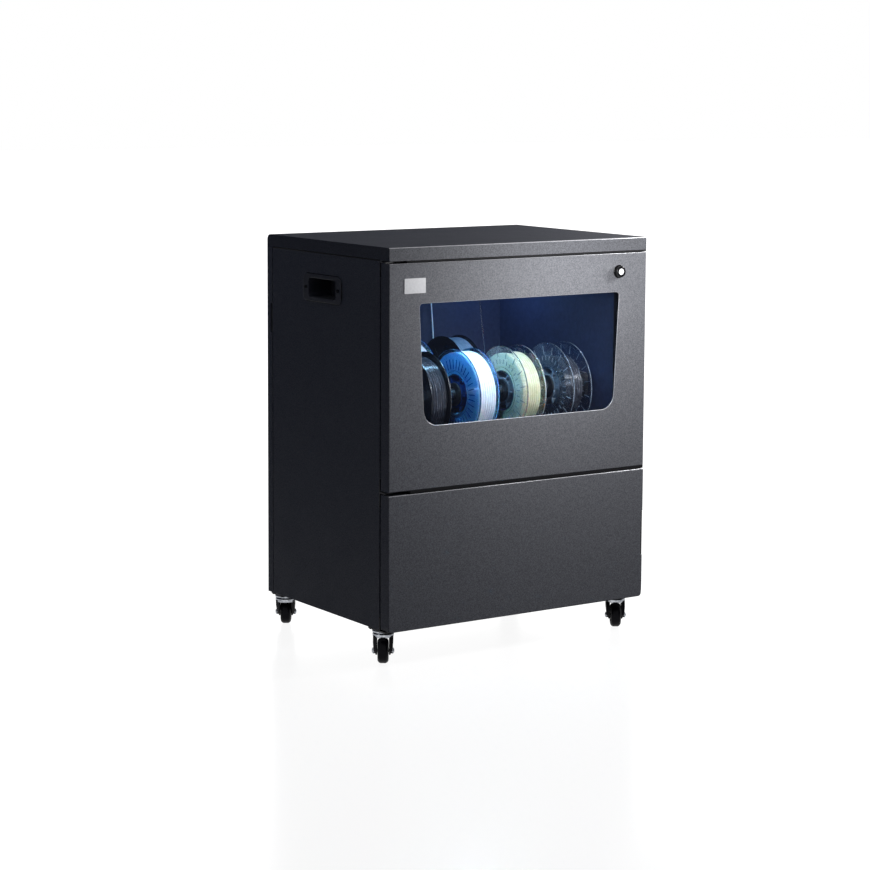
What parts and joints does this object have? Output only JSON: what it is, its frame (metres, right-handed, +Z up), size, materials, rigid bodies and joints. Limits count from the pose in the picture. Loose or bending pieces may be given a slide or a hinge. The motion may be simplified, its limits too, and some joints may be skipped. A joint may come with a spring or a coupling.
{
  "type": "filament dryer cabinet",
  "caption": "Wheeled dry cabinet for filament reels: windowed upper door with a push latch, reels on two rods in a heated chamber, lower storage door, side handles and swivel casters.",
  "frame": {"origin": "on the floor under the middle of the cabinet's body", "axes": "+Z up, the doors face -Y, +X to the right seen from the front"},
  "size_m": [0.7, 0.5254, 0.9],
  "materials": {
    "charcoal_powder_coat": "fine texture powder coat",
    "black_sheet": "black painted sheet",
    "chamber_coat": "dark blue painted sheet",
    "acrylic_pane": "clear acrylic",
    "black_rubber": "moulded rubber",
    "black_plastic": "moulded black plastic",
    "knob_black": "gloss black",
    "white_enamel": "white enamel",
    "white_plastic": "white plastic",
    "zinc_steel": "zinc plated",
    "magnet_black": "ferrite",
    "steel_tube": "ground steel",
    "heater_aluminium": "extruded",
    "board_green": "circuit board",
    "light_diffuser": "milky diffuser",
    "caster_chrome": "bright zinc",
    "caster_black": "black coated steel",
    "caster_rubber": "black rubber tread",
    "reel_black": "moulded black",
    "reel_blue": "translucent blue",
    "reel_clear": "clear",
    "filament_black": "extruded",
    "filament_white": "extruded",
    "filament_natural": "extruded, natural",
    "filament_ice": "extruded, pale blue",
    "strand": "extruded"
  },
  "bodies": {
    "cabinet": {"top_cover": "charcoal_powder_coat", "left_side_panel": "charcoal_powder_coat", "right_side_panel": "charcoal_powder_coat", "rear_panel": "charcoal_powder_coat", "rear_posts": "black_sheet", "base_pan": "black_sheet", "mid_shelf": "black_sheet", "chamber_liner": "chamber_coat", "front_frame": "black_sheet", "door_gasket": "black_rubber", "left_handle_cup": "black_plastic", "right_handle_cup": "black_plastic", "cabinet_screws": "zinc_steel", "spool_rods": "steel_tube", "rod_brackets": "black_sheet", "spool_sleeves": "black_plastic", "light_bar": "light_diffuser", "dryer_housing": "zinc_steel", "heater_core": "heater_aluminium", "fan_frame": "black_plastic", "control_board": "board_green", "power_inlet": "black_plastic", "humidity_sensor": "white_plastic", "filament_outlets": "black_plastic", "filament_strands": "strand", "pivot_brackets": "black_sheet", "door_magnets": "magnet_black", "caster_plates": "caster_chrome"},
    "upper_door": {"upper_door_skin": "charcoal_powder_coat", "window_pane": "acrylic_pane", "upper_door_liner": "black_sheet", "badge_plate": "white_enamel", "latch_housing": "black_plastic"},
    "latch_knob": {"latch_knob": "knob_black", "knob_cap": "white_plastic"},
    "latch_bolt": {"latch_bolt": "zinc_steel"},
    "lower_door": {"lower_door_skin": "charcoal_powder_coat", "lower_door_liner": "black_sheet", "finger_pull_cup": "black_plastic"},
    "fan_rotor": {"fan_rotor": "black_plastic"},
    "spool_1": {"reel_1": "reel_black", "filament_1": "filament_black"},
    "spool_2": {"reel_2": "reel_blue", "filament_2": "filament_white"},
    "spool_3": {"reel_3": "reel_clear", "filament_3": "filament_natural"},
    "spool_4": {"reel_4": "reel_clear", "filament_4": "filament_black"},
    "spool_5": {"reel_5": "reel_blue", "filament_5": "filament_white"},
    "spool_6": {"reel_6": "reel_black", "filament_6": "filament_ice"},
    "caster_front_left": {"caster_fork_front_left": "caster_black"},
    "wheel_front_left": {"caster_wheel_front_left": "caster_rubber"},
    "caster_front_right": {"caster_fork_front_right": "caster_black"},
    "wheel_front_right": {"caster_wheel_front_right": "caster_rubber"},
    "caster_rear_left": {"caster_fork_rear_left": "caster_black"},
    "wheel_rear_left": {"caster_wheel_rear_left": "caster_rubber"},
    "caster_rear_right": {"caster_fork_rear_right": "caster_black"},
    "wheel_rear_right": {"caster_wheel_rear_right": "caster_rubber"}
  },
  "joints": [
    {"name": "upper_door_swing", "type": "hinge", "parent": "cabinet", "child": "upper_door", "pos_m": [-0.336, -0.2305, 0.623], "axis": [0, 0, -1], "range_deg": [0, 100]},
    {"name": "lower_door_swing", "type": "hinge", "parent": "cabinet", "child": "lower_door", "pos_m": [-0.336, -0.2305, 0.224], "axis": [0, 0, -1], "range_deg": [0, 100]},
    {"name": "knob_push", "type": "slide", "parent": "upper_door", "child": "latch_knob", "axis": [0, 1, 0], "range_m": [0, 0.006], "stiffness_N_per_m": 200},
    {"name": "bolt_lift", "type": "slide", "parent": "upper_door", "child": "latch_bolt", "axis": [0, 0, 1], "range_m": [0, 0.007]},
    {"name": "fan_spin", "type": "hinge", "parent": "cabinet", "child": "fan_rotor", "pos_m": [0, 0.1355, 0.305], "axis": [0, 0, 1], "continuous": true},
    {"name": "spool_1_spin", "type": "hinge", "parent": "cabinet", "child": "spool_1", "pos_m": [-0.18355, -0.1145, 0.557], "axis": [1, 0, 0], "continuous": true},
    {"name": "spool_2_spin", "type": "hinge", "parent": "cabinet", "child": "spool_2", "pos_m": [-0.05585, -0.1145, 0.557], "axis": [1, 0, 0], "continuous": true},
    {"name": "spool_3_spin", "type": "hinge", "parent": "cabinet", "child": "spool_3", "pos_m": [0.07185, -0.1145, 0.557], "axis": [1, 0, 0], "continuous": true},
    {"name": "spool_4_spin", "type": "hinge", "parent": "cabinet", "child": "spool_4", "pos_m": [0.19955, -0.1145, 0.557], "axis": [1, 0, 0], "continuous": true},
    {"name": "spool_5_spin", "type": "hinge", "parent": "cabinet", "child": "spool_5", "pos_m": [-0.05585, 0.1195, 0.557], "axis": [1, 0, 0], "continuous": true},
    {"name": "spool_6_spin", "type": "hinge", "parent": "cabinet", "child": "spool_6", "pos_m": [0.07185, 0.1195, 0.557], "axis": [1, 0, 0], "continuous": true},
    {"name": "caster_front_left_swivel", "type": "hinge", "parent": "cabinet", "child": "caster_front_left", "pos_m": [-0.318, -0.1925, 0.06], "axis": [0, 0, 1], "continuous": true},
    {"name": "wheel_front_left_roll", "type": "hinge", "parent": "caster_front_left", "child": "wheel_front_left", "pos_m": [-0.32634, -0.20497, 0.0275], "axis": [0.831, -0.5563, 0], "continuous": true},
    {"name": "caster_front_right_swivel", "type": "hinge", "parent": "cabinet", "child": "caster_front_right", "pos_m": [0.318, -0.1925, 0.06], "axis": [0, 0, 1], "continuous": true},
    {"name": "wheel_front_right_roll", "type": "hinge", "parent": "caster_front_right", "child": "wheel_front_right", "pos_m": [0.30966, -0.20497, 0.0275], "axis": [0.831, -0.5563, 0], "continuous": true},
    {"name": "caster_rear_left_swivel", "type": "hinge", "parent": "cabinet", "child": "caster_rear_left", "pos_m": [-0.318, 0.2225, 0.06], "axis": [0, 0, 1], "continuous": true},
    {"name": "wheel_rear_left_roll", "type": "hinge", "parent": "caster_rear_left", "child": "wheel_rear_left", "pos_m": [-0.30966, 0.23497, 0.0275], "axis": [-0.831, 0.5563, 0], "continuous": true},
    {"name": "caster_rear_right_swivel", "type": "hinge", "parent": "cabinet", "child": "caster_rear_right", "pos_m": [0.318, 0.2225, 0.06], "axis": [0, 0, 1], "continuous": true},
    {"name": "wheel_rear_right_roll", "type": "hinge", "parent": "caster_rear_right", "child": "wheel_rear_right", "pos_m": [0.32634, 0.23497, 0.0275], "axis": [-0.831, 0.5563, 0], "continuous": true}
  ],
  "couplings": [
    {"joint": "bolt_lift", "follows": "knob_push", "ratio": 1.1666}
  ]
}
